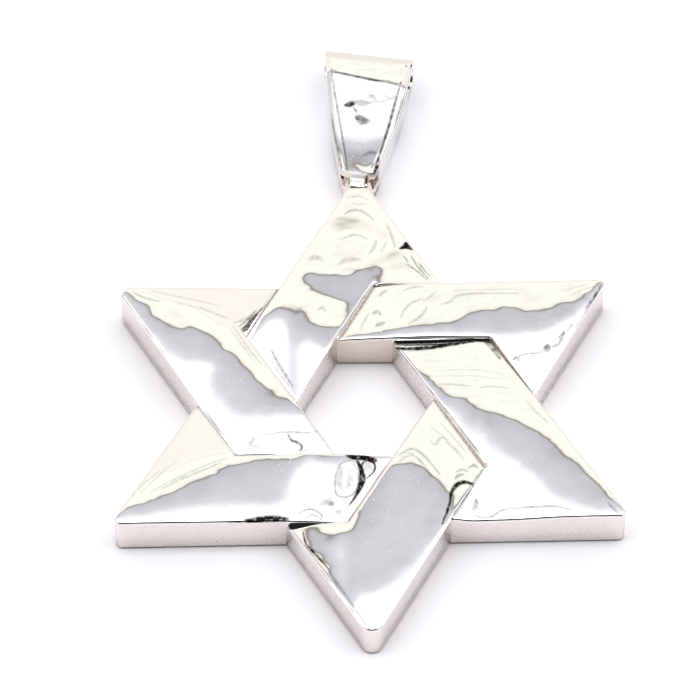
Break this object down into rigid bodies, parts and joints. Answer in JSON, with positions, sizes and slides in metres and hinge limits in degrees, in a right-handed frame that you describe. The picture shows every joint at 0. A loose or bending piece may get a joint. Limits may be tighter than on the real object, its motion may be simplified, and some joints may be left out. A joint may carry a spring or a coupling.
{
  "type": "star of david pendant",
  "caption": "Interlaced hexagram pendant in polished silver with a flat back, an open hexagonal centre and a tapered folded bail hooked through the eye at its top point.",
  "frame": {"origin": "centre of the star on the plane of its flat back", "axes": "+Z out of the polished front, +Y from the centre to the top point with the bail, +X to the right seen from the front"},
  "size_m": [0.0302, 0.045, 0.0028],
  "materials": {
    "silver": "mirror polished silver"
  },
  "bodies": {
    "root": {"star": "silver", "bail": "silver"}
  },
  "joints": []
}
